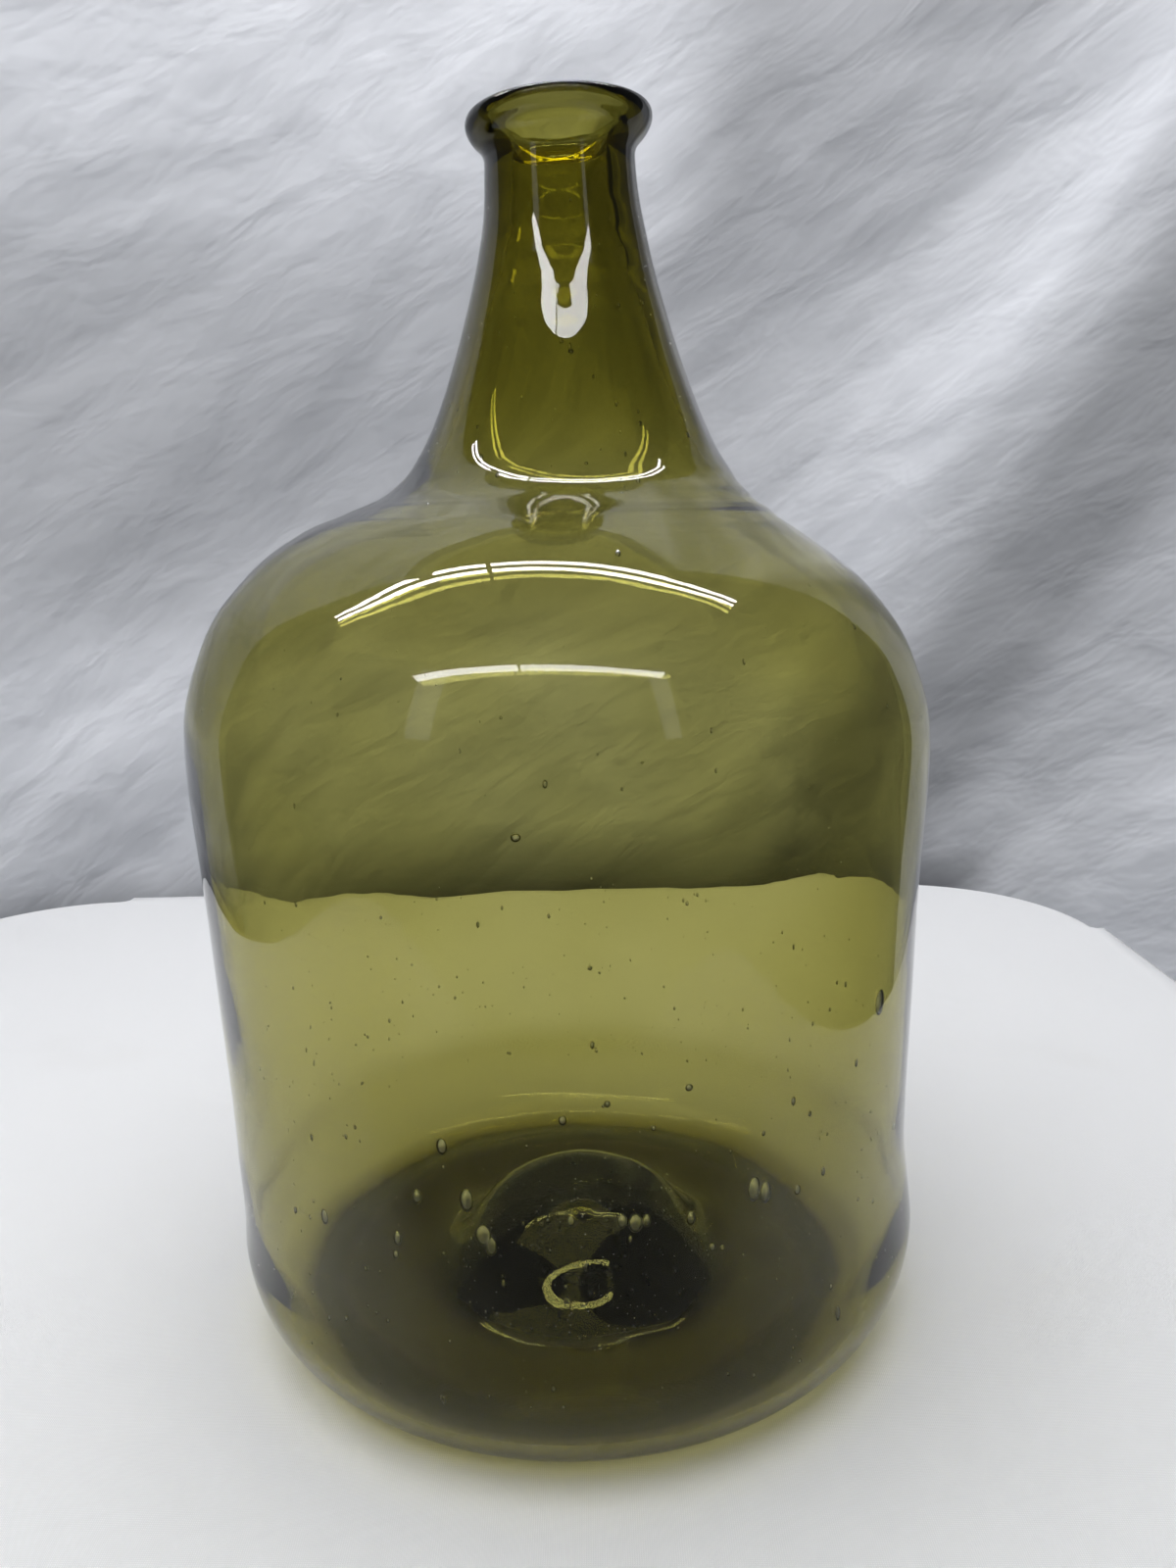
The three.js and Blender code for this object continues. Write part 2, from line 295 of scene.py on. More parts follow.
def turn_outline(outline):
    """A closed skin turned from the outline, still without its unevenness."""
    bm = bmesh.new()
    level_of = bm.verts.layers.float.new("middle_level")
    side_of = bm.verts.layers.float.new("side")
    chain = []
    for radius, level, middle_level, side in outline:
        vert = bm.verts.new((max(radius, 0.0), 0.0, level))
        vert[level_of] = middle_level
        vert[side_of] = side
        chain.append(vert)
    edges = [bm.edges.new(pair) for pair in zip(chain, chain[1:])]
    bmesh.ops.spin(
        bm, geom=chain + edges, cent=(0, 0, 0), axis=(0, 0, 1), dvec=(0, 0, 0),
        angle=2 * math.pi, steps=TURNS, use_merge=True, use_normal_flip=False,
    )
    bmesh.ops.remove_doubles(bm, verts=bm.verts, dist=1e-6)
    return bm, level_of, side_of


def blown(co, side):
    """Where a point of the even shape lies on the bottle: no two places are quite alike."""
    turn = math.atan2(co.y, co.x)
    radius = math.hypot(co.x, co.y)
    grow = smooth_step(co.z, 0.012, 0.05) * (1 - 0.75 * smooth_step(co.z, 0.26, 0.33))
    if side < 0.5:
        slow = noise.noise(Vector((co.x, co.y, 0.6 * co.z)) * 17 + Vector((3.1, 0.4, 7.7)))
        change = UNEVEN_OUTSIDE * grow * min(radius / 0.05, 1.0) * slow
    else:
        slow = noise.noise(Vector((co.x, co.y, 0.8 * co.z)) * 24 + Vector((9.3, 5.2, 1.4)))
        quick = noise.noise(Vector((co.x, co.y, co.z)) * 70 + Vector((2.2, 8.1, 4.9)))
        change = UNEVEN_INSIDE * grow * min(radius / 0.05, 1.0) * (slow + 0.07 * quick)
    if side > 1.5:
        heap = noise.noise(Vector((co.x, co.y, 0.0)) * 45 + Vector((1.7, 6.6, 0.0)))
        co.z += UNEVEN_FLOOR * heap * (1 - smooth_step(radius, 0.05, 0.085))
        change = 0.0
    co.x += change * math.cos(turn)
    co.y += change * math.sin(turn)
    return co


def scar_break(turn):
    """The ridge of the scar is deep in places, low in others, and broken away in two."""
    waves = 0.75 + 0.22 * math.sin(3 * turn + 0.8) + 0.14 * math.sin(8 * turn)
    waves += 0.1 * math.sin(19 * turn)
    gap_left = abs((turn - 2.75 + math.pi) % (2 * math.pi) - math.pi)
    gap_front = abs((turn + 2.1 + math.pi) % (2 * math.pi) - math.pi)
    return waves * smooth_step(min(gap_left, gap_front), 0.03, 0.16)


bm, level_of, side_of = turn_outline(body_outline())
SCAR_EDGES = (SCAR_RADIUS - SCAR_WIDTH, SCAR_RADIUS)
for vert in bm.verts:
    level = vert[level_of]
    side = vert[side_of]
    radius = math.hypot(vert.co.x, vert.co.y)
    if side < 0.5 and level < 0.03 and SCAR_EDGES[0] < radius < SCAR_EDGES[1]:
        seat = KICK_HEIGHT * (1 - 0.03 * radius / (0.24 * (FOOT_RADIUS - FOOT_WIDTH)))
        turn = math.atan2(vert.co.y, vert.co.x)
        vert.co.z = seat - (seat - vert.co.z) * scar_break(turn)
    blown(vert.co, side)
    tip = smooth_step(level, NECK_TOP_LEVEL - TILT_DEPTH, RIM_LEVEL - LIP_HEIGHT)
    vert.co.z += tip * vert.co.x * math.tan(LIP_TILT)
    vert.co.x += middle_at(level)
    if level < DOME_LEVEL + FLOOR_LEVEL and (side > 1.5 or vert.co.z < KICK_HEIGHT + 0.001):
        still = FOOT_RADIUS - FOOT_WIDTH
        vert.co.y -= DOME_SHIFT * (1 - smooth_step(radius, still / 2, still))
bm.verts.layers.float.remove(level_of)
bm.verts.layers.float.remove(bm.verts.layers.float["side"])
bmesh.ops.recalc_face_normals(bm, faces=bm.faces)


def ball(subdivisions):
    """The corners and faces of a small sphere, the faces turned to look inwards."""
    sphere = bmesh.new()
    bmesh.ops.create_icosphere(sphere, subdivisions=subdivisions, radius=1.0)
    corners = [vert.co.copy() for vert in sphere.verts]
    faces = [[vert.index for vert in reversed(face.verts)] for face in sphere.faces]
    sphere.free()
    return corners, faces


FINE_BALL, COARSE_BALL = ball(2), ball(1)
dull_skin = bm.verts.layers.float.new("dull_skin")


def seed(place, across, along, depth, turn, shape):
    """A bubble of gas in the glass: an egg-shaped hole, its skin a little dull."""
    corners, faces = shape
    size = Matrix.Diagonal((across, depth, along, 1.0))
    put = Matrix.Translation(place) @ Matrix.Rotation(turn, 4, "Z") @ size
    verts = [bm.verts.new(put @ corner) for corner in corners]
    for vert in verts:
        vert[dull_skin] = 1.0
    for face in faces:
        bm.faces.new([verts[i] for i in face])


def in_wall(turn, level, depth):
    """A place in the wall, at a share of its thickness from the outside."""
    radius = float(np.interp(level, WALL_LEVELS, WALL_RADII)) - depth * thickness_at(level)
    return Vector((middle_at(level) + radius * math.sin(turn), -radius * math.cos(turn), level))


wall = wall_line()
WALL_LEVELS = [z for r, z in wall]
WALL_RADII = [r for r, z in wall]
# The large seeds of the front: degrees to the right of the front, level in millimetres, and
# two shares that give half the width and half the length, in metres, over SEED_SHARE.
SEED_SHARE = 1450
SEED_DEPTH = 0.00105
LARGE_SEEDS = [
    (-36.6, 76, 2.0, 3.6), (-23.6, 77, 1.8, 3.2), (-20.1, 91, 2.0, 3.2), (-13, 92, 2.8, 5.0),
    (-11, 82, 3.3, 4.8), (-10, 79, 2.4, 4.2), (0.7, 87, 1.6, 2.2), (9.2, 85, 2.8, 4.0),
    (10.7, 85.4, 1.6, 2.8), (16.8, 84, 2.0, 3.2), (26.3, 88, 3.0, 5.4), (28.2, 86, 2.6, 4.9),
    (33.8, 83, 1.6, 2.4), (51.7, 128, 4.0, 5.8), (-4.1, 191, 1.9, 1.6), (2.3, 313, 1.2, 1.2),
    (71.6, 186, 2.4, 9.0), (19.9, 74, 1.4, 1.9), (-15.9, 107, 2.2, 3.6), (0.1, 116, 1.6, 2.0),
    (5.8, 120, 1.2, 1.4), (16.5, 122, 1.5, 1.5), (11.7, 112, 1.0, 1.2), (41.2, 38, 1.5, 3.6),
    (-24.0, 72, 1.3, 1.9), (-34.2, 46, 1.0, 1.3), (21.4, 73, 1.0, 1.2), (-43.4, 73, 0.9, 1.8),
    (38.9, 85, 1.0, 2.2), (7.4, 86, 2.0, 3.0),
]
for degrees, level, across, along in LARGE_SEEDS:
    turn = math.radians(degrees)
    place = in_wall(turn, level / 1000, 0.5)
    seed(place, across / SEED_SHARE, along / SEED_SHARE, SEED_DEPTH, turn, FINE_BALL)
# Hundreds of fine seeds, most of them low in the bottle and in the lump of the base.
WALL_SEEDS, LUMP_SEEDS = 900, 260
LUMP_RADIUS = 0.05
dice = np.random.default_rng(11)
for k in range(WALL_SEEDS):
    turn = dice.uniform(-math.pi, math.pi)
    low = dice.random() < 0.62
    level = 0.03 + 0.085 * dice.random() ** 1.2 if low else dice.uniform(0.1, 0.36)
    size = 0.0002 + 0.0006 * dice.random() ** 4
    place = in_wall(turn, level, dice.uniform(0.25, 0.75))
    seed(place, size, size * dice.uniform(1.0, 2.2), size * 0.8, turn, COARSE_BALL)
for k in range(LUMP_SEEDS):
    turn = dice.uniform(-math.pi, math.pi)
    radius = LUMP_RADIUS * dice.random() ** 0.5
    share = radius / DOME_RADIUS
    top = FLOOR_LEVEL + (DOME_LEVEL - FLOOR_LEVEL) * float(
        np.interp(share, [r for r, z in DOME_SHAPE], [z for r, z in DOME_SHAPE])
    )
    level = dice.uniform(KICK_HEIGHT + 0.003, top - 0.0035)
    size = 0.00018 + 0.0006 * dice.random() ** 4
    place = Vector(
        (MIDDLE[0][1] + radius * math.cos(turn), radius * math.sin(turn) - DOME_SHIFT, level)
    )
    seed(place, size, size * dice.uniform(1.0, 1.6), size, turn, COARSE_BALL)

mesh = bpy.data.meshes.new("blown_body_glass")
bm.to_mesh(mesh)
bm.free()
mesh.polygons.foreach_set("use_smooth", [True] * len(mesh.polygons))
body = bpy.data.objects.new("blown_body_glass", mesh)
bpy.context.collection.objects.link(body)

# Glass that was worked by hand: faint rings from the turning, and dust and greasy marks.
marks = bpy.data.node_groups.new("worked_glass", "ShaderNodeTree")
marks.interface.new_socket("Coordinates", in_out="INPUT", socket_type="NodeSocketVector")
marks.interface.new_socket("Height", in_out="OUTPUT", socket_type="NodeSocketFloat")
marks.interface.new_socket("Roughness", in_out="OUTPUT", socket_type="NodeSocketFloat")
inlet = marks.nodes.new("NodeGroupInput")
outlet = marks.nodes.new("NodeGroupOutput")
stretch = marks.nodes.new("ShaderNodeMapping")
stretch.inputs["Scale"].default_value = (10, 10, 40)
rings = marks.nodes.new("ShaderNodeTexNoise")
rings.inputs["Scale"].default_value = 1.0
rings.inputs["Detail"].default_value = 3.0
smear = marks.nodes.new("ShaderNodeTexNoise")
smear.inputs["Scale"].default_value = 38.0
smear.inputs["Detail"].default_value = 5.0
smear.inputs["Distortion"].default_value = 1.5
dull = marks.nodes.new("ShaderNodeMapRange")
dull.inputs["From Min"].default_value = 0.56
dull.inputs["From Max"].default_value = 0.80
dull.inputs["To Min"].default_value = 0.0
dull.inputs["To Max"].default_value = 0.035
marks.links.new(inlet.outputs["Coordinates"], stretch.inputs["Vector"])
marks.links.new(stretch.outputs["Vector"], rings.inputs["Vector"])
marks.links.new(inlet.outputs["Coordinates"], smear.inputs["Vector"])
marks.links.new(smear.outputs["Fac"], dull.inputs["Value"])
marks.links.new(rings.outputs["Fac"], outlet.inputs["Height"])
marks.links.new(dull.outputs["Result"], outlet.inputs["Roughness"])


# Light loses its blue and red on the way through the glass, the more the thicker it is.
GLASS_COLOUR = (0.694, 0.672, 0.235)
GLASS_DENSITY = 430.0
GLASS_IOR = 1.5
SEED_DULLNESS = 0.45


def glass_material(name):
    """Green glass with worked marks on its skin, and a dull skin round its seeds."""
    material = bpy.data.materials.new(name)
    material.use_nodes = True
    tree = material.node_tree
    shader = tree.nodes["Principled BSDF"]
    shader.inputs["Base Color"].default_value = (1, 1, 1, 1)
    shader.inputs["IOR"].default_value = GLASS_IOR
    shader.inputs["Metallic"].default_value = 0.0
    shader.inputs["Transmission Weight"].default_value = 1.0
    shader.inputs["Specular Tint"].default_value = (0.5, 0.5, 0.5, 1)
    place = tree.nodes.new("ShaderNodeTexCoord")
    worked = tree.nodes.new("ShaderNodeGroup")
    worked.node_tree = marks
    bump = tree.nodes.new("ShaderNodeBump")
    bump.inputs["Strength"].default_value = 0.4
    bump.inputs["Distance"].default_value = 0.0002
    tree.links.new(place.outputs["Object"], worked.inputs["Coordinates"])
    tree.links.new(worked.outputs["Height"], bump.inputs["Height"])
    tree.links.new(bump.outputs["Normal"], shader.inputs["Normal"])
    skin = tree.nodes.new("ShaderNodeAttribute")
    skin.attribute_name = "dull_skin"
    rough = tree.nodes.new("ShaderNodeMath")
    rough.operation = "MULTIPLY_ADD"
    rough.inputs[1].default_value = SEED_DULLNESS
    tree.links.new(skin.outputs["Fac"], rough.inputs[0])
    tree.links.new(worked.outputs["Roughness"], rough.inputs[2])
    tree.links.new(rough.outputs[0], shader.inputs["Roughness"])
    volume = tree.nodes.new("ShaderNodeVolumeAbsorption")
    volume.inputs["Color"].default_value = (*GLASS_COLOUR, 1)
    volume.inputs["Density"].default_value = GLASS_DENSITY
    tree.links.new(volume.outputs["Volume"], tree.nodes["Material Output"].inputs["Volume"])
    return material


body.data.materials.append(glass_material("olive_glass"))
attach(body, "root")
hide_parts("blown_body", "lip_ring", "pontil_scar")

# The floor: a table top with rounded corners under a white cotton cloth of fine plain weave,
# which hangs down over its edges. The bottle stands on it and isn't fixed.
TABLE_LEFT, TABLE_RIGHT = -0.46, 0.35
TABLE_FRONT, TABLE_BACK = -0.365, 0.475
TABLE_CORNER = 0.12
TABLE_ROUND = 0.012
CLOTH_FALL = 0.5
THREAD_SPACING = 0.0006
bm = bmesh.new()
corners = [
    bm.verts.new((x, y, 0.0))
    for x, y in (
        (TABLE_LEFT, TABLE_FRONT), (TABLE_RIGHT, TABLE_FRONT),
        (TABLE_RIGHT, TABLE_BACK), (TABLE_LEFT, TABLE_BACK),
    )
]
bm.faces.new(corners)
bmesh.ops.bevel(
    bm, geom=corners, offset=TABLE_CORNER, segments=24, profile=0.5, affect="VERTICES", material=-1
)
rim = [e for e in bm.edges if e.is_boundary]
fall = bmesh.ops.extrude_edge_only(bm, edges=rim)
for vert in [v for v in fall["geom"] if isinstance(v, bmesh.types.BMVert)]:
    vert.co.z -= CLOTH_FALL
top_edges = [e for e in bm.edges if all(abs(v.co.z) < 1e-6 for v in e.verts)]
bmesh.ops.bevel(
    bm, geom=top_edges, offset=TABLE_ROUND, segments=6, profile=0.5, affect="EDGES", material=-1
)
bmesh.ops.recalc_face_normals(bm, faces=bm.faces)
mesh = bpy.data.meshes.new("table_top")
bm.to_mesh(mesh)
bm.free()
mesh.polygons.foreach_set("use_smooth", [True] * len(mesh.polygons))
table = bpy.data.objects.new("table_top", mesh)
bpy.context.collection.objects.link(table)


def cloth_material(name, colour):
    """Matt cotton of one colour; what varies it is joined to the same shader afterwards."""
    material = bpy.data.materials.new(name)
    material.use_nodes = True
    shader = material.node_tree.nodes["Principled BSDF"]
    shader.inputs["Base Color"].default_value = (*colour, 1)
    shader.inputs["Roughness"].default_value = 0.9
    shader.inputs["Specular IOR Level"].default_value = 0.1
    return material, material.node_tree, shader


cloth, tree, shader = cloth_material("white_cloth", (0.84, 0.84, 0.85))
place = tree.nodes.new("ShaderNodeTexCoord")
split = tree.nodes.new("ShaderNodeSeparateXYZ")
tree.links.new(place.outputs["Object"], split.inputs[0])
# A soft painted shade lies over the front of the table, below the picture's foot.
SHADE_START, SHADE_END = -0.21, -0.135
SHADE_SIDE_START, SHADE_SIDE_END = 0.12, 0.31
near = tree.nodes.new("ShaderNodeMapRange")
near.interpolation_type = "SMOOTHSTEP"
near.inputs["From Min"].default_value = SHADE_START
near.inputs["From Max"].default_value = SHADE_END
tree.links.new(split.outputs["Y"], near.inputs["Value"])
side = tree.nodes.new("ShaderNodeMath")
side.operation = "ABSOLUTE"
tree.links.new(split.outputs["X"], side.inputs[0])
aside = tree.nodes.new("ShaderNodeMapRange")
aside.interpolation_type = "SMOOTHSTEP"
aside.inputs["From Min"].default_value = SHADE_SIDE_START
aside.inputs["From Max"].default_value = SHADE_SIDE_END
tree.links.new(side.outputs[0], aside.inputs["Value"])
lit = tree.nodes.new("ShaderNodeMath")
lit.operation = "ADD"
lit.use_clamp = True
tree.links.new(near.outputs["Result"], lit.inputs[0])
tree.links.new(aside.outputs["Result"], lit.inputs[1])
shade = tree.nodes.new("ShaderNodeValToRGB")
shade.color_ramp.elements[0].color = (0.33, 0.33, 0.34, 1)
shade.color_ramp.elements[1].color = (0.90, 0.90, 0.91, 1)
tree.links.new(lit.outputs[0], shade.inputs["Fac"])
stain = tree.nodes.new("ShaderNodeTexNoise")
stain.inputs["Scale"].default_value = 9.0
stain.inputs["Detail"].default_value = 4.0
tree.links.new(place.outputs["Object"], stain.inputs["Vector"])
stained = tree.nodes.new("ShaderNodeMapRange")
stained.inputs["From Min"].default_value = 0.60
stained.inputs["From Max"].default_value = 0.80
stained.inputs["To Max"].default_value = 0.10
tree.links.new(stain.outputs["Fac"], stained.inputs["Value"])
tint = tree.nodes.new("ShaderNodeMix")
tint.data_type = "RGBA"
tint.inputs["B"].default_value = (0.60, 0.55, 0.48, 1)
tree.links.new(stained.outputs["Result"], tint.inputs["Factor"])
tree.links.new(shade.outputs["Color"], tint.inputs["A"])
# Painted shade: hardly any light gets to the cloth round the ring that the bottle stands on.
under_foot = tree.nodes.new("ShaderNodeValToRGB")
under_foot.color_ramp.interpolation = "EASE"
under_foot.color_ramp.elements[0].position = 0.078
under_foot.color_ramp.elements[0].color = (1, 1, 1, 1)
under_foot.color_ramp.elements[1].position = 0.099
under_foot.color_ramp.elements[1].color = (1, 1, 1, 1)
for distance in (0.085, 0.093):
    stop = under_foot.color_ramp.elements.new(distance)
    stop.color = (0.5, 0.5, 0.5, 1)
unlit = tree.nodes.new("ShaderNodeMix")
unlit.data_type = "RGBA"
unlit.blend_type = "MULTIPLY"
unlit.inputs["Factor"].default_value = 1.0
tree.links.new(tint.outputs["Result"], unlit.inputs["A"])
tree.links.new(under_foot.outputs["Color"], unlit.inputs["B"])
gaps = tree.nodes.new("ShaderNodeMix")
gaps.data_type = "RGBA"
gaps.blend_type = "MULTIPLY"
gaps.inputs["Factor"].default_value = 1.0
tree.links.new(unlit.outputs["Result"], gaps.inputs["A"])
tree.links.new(gaps.outputs["Result"], shader.inputs["Base Color"])
# A warm glow painted on the cloth round the foot, as emission, stands in for light that comes
# through the glass.
GLOW_COLOUR = (0.11, 0.10, 0.04)
round_foot = tree.nodes.new("ShaderNodeVectorMath")
round_foot.operation = "LENGTH"
tree.links.new(place.outputs["Object"], round_foot.inputs[0])
glow = tree.nodes.new("ShaderNodeValToRGB")
glow.color_ramp.interpolation = "EASE"
glow.color_ramp.elements[0].position = 0.095
glow.color_ramp.elements[0].color = (0, 0, 0, 1)
glow.color_ramp.elements[1].position = 0.128
glow.color_ramp.elements[1].color = (0, 0, 0, 1)
for distance, strength in ((0.100, 1.0), (0.108, 0.5)):
    stop = glow.color_ramp.elements.new(distance)
    stop.color = (*(strength * part for part in GLOW_COLOUR), 1)
tree.links.new(round_foot.outputs["Value"], glow.inputs["Fac"])
tree.links.new(round_foot.outputs["Value"], under_foot.inputs["Fac"])
tree.links.new(glow.outputs["Color"], shader.inputs["Emission Color"])
shader.inputs["Emission Strength"].default_value = 1.0
threads = []
for direction in ("X", "Y"):
    thread = tree.nodes.new("ShaderNodeTexWave")
    thread.bands_direction = direction
    thread.inputs["Scale"].default_value = 2 * math.pi / (20 * THREAD_SPACING)
    thread.inputs["Distortion"].default_value = 0.6
    thread.inputs["Detail"].default_value = 1.0
    tree.links.new(place.outputs["Object"], thread.inputs["Vector"])
    threads.append(thread)
weave = tree.nodes.new("ShaderNodeMath")
weave.operation = "MULTIPLY"
tree.links.new(threads[0].outputs["Fac"], weave.inputs[0])
tree.links.new(threads[1].outputs["Fac"], weave.inputs[1])
between_threads = tree.nodes.new("ShaderNodeMapRange")
between_threads.inputs["To Min"].default_value = 0.90
between_threads.inputs["To Max"].default_value = 1.04
tree.links.new(weave.outputs[0], between_threads.inputs["Value"])
tree.links.new(between_threads.outputs["Result"], gaps.inputs["B"])
ripple = tree.nodes.new("ShaderNodeTexNoise")
ripple.inputs["Scale"].default_value = 11.0
ripple.inputs["Detail"].default_value = 3.0
tree.links.new(place.outputs["Object"], ripple.inputs["Vector"])
fine = tree.nodes.new("ShaderNodeBump")
fine.inputs["Strength"].default_value = 0.6
fine.inputs["Distance"].default_value = 0.00014
tree.links.new(weave.outputs[0], fine.inputs["Height"])
soft_fold = tree.nodes.new("ShaderNodeBump")
soft_fold.inputs["Strength"].default_value = 0.5
soft_fold.inputs["Distance"].default_value = 0.004
tree.links.new(ripple.outputs["Fac"], soft_fold.inputs["Height"])
tree.links.new(fine.outputs["Normal"], soft_fold.inputs["Normal"])
tree.links.new(soft_fold.outputs["Normal"], shader.inputs["Normal"])
table.data.materials.append(cloth)
table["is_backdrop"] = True

# The backdrop: a pale cotton sheet, creased from its folding, that hangs in a curve round the
# back of the table.
BACKDROP_REACH = 0.76
LEFT_END, RIGHT_END = math.radians(-74), math.radians(60)
BACKDROP_FOOT, BACKDROP_TOP = -0.30, 2.0
BACKDROP_ROWS, BACKDROP_COLUMNS = 150, 180
FOLD_ACROSS, FOLD_UP = 0.82, 0.57
FOLD_DEPTH, CREASE_DEPTH, SECOND_DEPTH = 0.020, 0.004, 0.0025
bm = bmesh.new()
chain = [
    bm.verts.new((BACKDROP_REACH * math.sin(LEFT_END), BACKDROP_REACH * math.cos(LEFT_END), level))
    for level in np.linspace(BACKDROP_FOOT, BACKDROP_TOP, BACKDROP_ROWS)
]
edges = [bm.edges.new(pair) for pair in zip(chain, chain[1:])]
bmesh.ops.spin(
    bm, geom=chain + edges, cent=(0, 0, 0), axis=(0, 0, -1), dvec=(0, 0, 0),
    angle=RIGHT_END - LEFT_END, steps=BACKDROP_COLUMNS,
)
for vert in bm.verts:
    across = BACKDROP_REACH * math.atan2(vert.co.x, vert.co.y)
    along = FOLD_ACROSS * across + FOLD_UP * vert.co.z
    over = FOLD_ACROSS * vert.co.z - FOLD_UP * across
    fold = noise.noise(Vector((2.2 * along, 6.5 * over, 1.1)))
    crease = 1 - 3 * abs(noise.noise(Vector((4.5 * along, 12 * over, 7.1))))
    second = 1 - 3 * abs(noise.noise(Vector((12 * along, 5 * over, 3.3))))
    push = FOLD_DEPTH * fold + CREASE_DEPTH * max(crease, 0.0) + SECOND_DEPTH * max(second, 0.0)
    out = Vector((vert.co.x, vert.co.y, 0.0)).normalized()
    vert.co += out * push
bmesh.ops.recalc_face_normals(bm, faces=bm.faces)
mesh = bpy.data.meshes.new("backdrop")
bm.to_mesh(mesh)
bm.free()
mesh.polygons.foreach_set("use_smooth", [True] * len(mesh.polygons))
backdrop = bpy.data.objects.new("backdrop", mesh)
bpy.context.collection.objects.link(backdrop)
sheet, tree, shader = cloth_material("creased_sheet", (0.80, 0.81, 0.85))
place = tree.nodes.new("ShaderNodeTexCoord")
split = tree.nodes.new("ShaderNodeSeparateXYZ")
# The sheet's colour carries painted shade: a dark foot, and the broad folds below.
shade = tree.nodes.new("ShaderNodeValToRGB")
shade.color_ramp.elements[0].color = (0.03, 0.03, 0.035, 1)
shade.color_ramp.elements[1].color = (0.91, 0.92, 0.965, 1)
fade = tree.nodes.new("ShaderNodeMapRange")
fade.inputs["From Min"].default_value = -0.10
fade.inputs["From Max"].default_value = -0.02
tree.links.new(place.outputs["Object"], split.inputs[0])
tree.links.new(split.outputs["Z"], fade.inputs["Value"])
# Painted shade of broad folds: the colour is lighter where a fold would turn the sheet to the
# light and darker where it would turn away; level ones on the left, and one bright fold that runs
# down from the right between two dark ones.
LEVEL_FOLD_SHADE = [
    (-0.05, 1.0), (0.03, 1.0), (0.09, 0.99), (0.15, 0.93), (0.21, 0.69), (0.28, 0.61),
    (0.48, 0.64), (0.55, 0.82), (0.63, 0.92),
]
SLANTED_FOLD_SHADE = [
    (-0.33, 0.88), (-0.25, 0.62), (-0.19, 0.49), (-0.12, 0.58), (-0.01, 0.68), (0.05, 0.84),
    (0.11, 0.98), (0.16, 0.72), (0.22, 0.42), (0.27, 0.41), (0.33, 0.66), (0.40, 0.76),
    (0.46, 0.92),
]
SLANT_ACROSS, SLANT_DOWN = 0.857, 0.515


def sheet_math(operation, first, second):
    """One sum in the sheet's material, of outputs of its nodes or plain numbers."""
    node = tree.nodes.new("ShaderNodeMath")
    node.operation = operation
    for socket, value in zip(node.inputs, (first, second)):
        if isinstance(value, float):
            socket.default_value = value
        else:
            tree.links.new(value, socket)
    return node.outputs[0]


def painted_fold_shade(place, stations):
    """Painted shade along one direction of the sheet, through stations of (place, brightness)."""
    start, end = stations[0][0], stations[-1][0]
    share = tree.nodes.new("ShaderNodeMapRange")
    share.inputs["From Min"].default_value = start
    share.inputs["From Max"].default_value = end
    tree.links.new(place, share.inputs["Value"])
    ramp = tree.nodes.new("ShaderNodeValToRGB")
    ramp.color_ramp.interpolation = "EASE"
    for at, value in stations[1:-1]:
        stop = ramp.color_ramp.elements.new((at - start) / (end - start))
        stop.color = (value, value, value, 1)
    for stop, (at, value) in zip((ramp.color_ramp.elements[0], ramp.color_ramp.elements[-1]),
                                 (stations[0], stations[-1])):
        stop.color = (value, value, value, 1)
    tree.links.new(share.outputs["Result"], ramp.inputs["Fac"])
    return ramp.outputs["Color"]


turn_on_sheet = sheet_math("ARCTAN2", split.outputs["X"], split.outputs["Y"])
across = sheet_math("MULTIPLY", turn_on_sheet, BACKDROP_REACH)
down_right = sheet_math(
    "SUBTRACT",
    sheet_math("MULTIPLY", across, SLANT_ACROSS),
    sheet_math("MULTIPLY", split.outputs["Z"], SLANT_DOWN),
)
# Painted shade: the foot of the sheet is dark behind the table, and stays light beside it on the
# right.
beside = tree.nodes.new("ShaderNodeMapRange")
beside.interpolation_type = "SMOOTHSTEP"
beside.inputs["From Min"].default_value = 0.32
beside.inputs["From Max"].default_value = 0.42
tree.links.new(across, beside.inputs["Value"])
tree.links.new(
    sheet_math("MAXIMUM", fade.outputs["Result"], beside.outputs["Result"]), shade.inputs["Fac"]
)
rightward = tree.nodes.new("ShaderNodeMapRange")
rightward.interpolation_type = "SMOOTHSTEP"
rightward.inputs["From Min"].default_value = 0.04
rightward.inputs["From Max"].default_value = 0.17
tree.links.new(across, rightward.inputs["Value"])
fold_shade = tree.nodes.new("ShaderNodeMix")
fold_shade.data_type = "RGBA"
tree.links.new(rightward.outputs["Result"], fold_shade.inputs["Factor"])
tree.links.new(painted_fold_shade(split.outputs["Z"], LEVEL_FOLD_SHADE), fold_shade.inputs["A"])
tree.links.new(painted_fold_shade(down_right, SLANTED_FOLD_SHADE), fold_shade.inputs["B"])
darken = tree.nodes.new("ShaderNodeMix")
darken.data_type = "RGBA"
darken.blend_type = "MULTIPLY"
darken.inputs["Factor"].default_value = 1.0
tree.links.new(shade.outputs["Color"], darken.inputs["A"])
tree.links.new(fold_shade.outputs["Result"], darken.inputs["B"])
tree.links.new(darken.outputs["Result"], shader.inputs["Base Color"])
slant = tree.nodes.new("ShaderNodeMapping")
slant.vector_type = "TEXTURE"
slant.inputs["Rotation"].default_value = (0, math.radians(-32), 0)
slant.inputs["Scale"].default_value = (0.09, 0.06, 0.035)
wrinkle = tree.nodes.new("ShaderNodeTexNoise")
wrinkle.inputs["Scale"].default_value = 1.0
wrinkle.inputs["Detail"].default_value = 3.0
wrinkle.inputs["Distortion"].default_value = 0.25
creased = tree.nodes.new("ShaderNodeBump")
creased.inputs["Strength"].default_value = 0.6
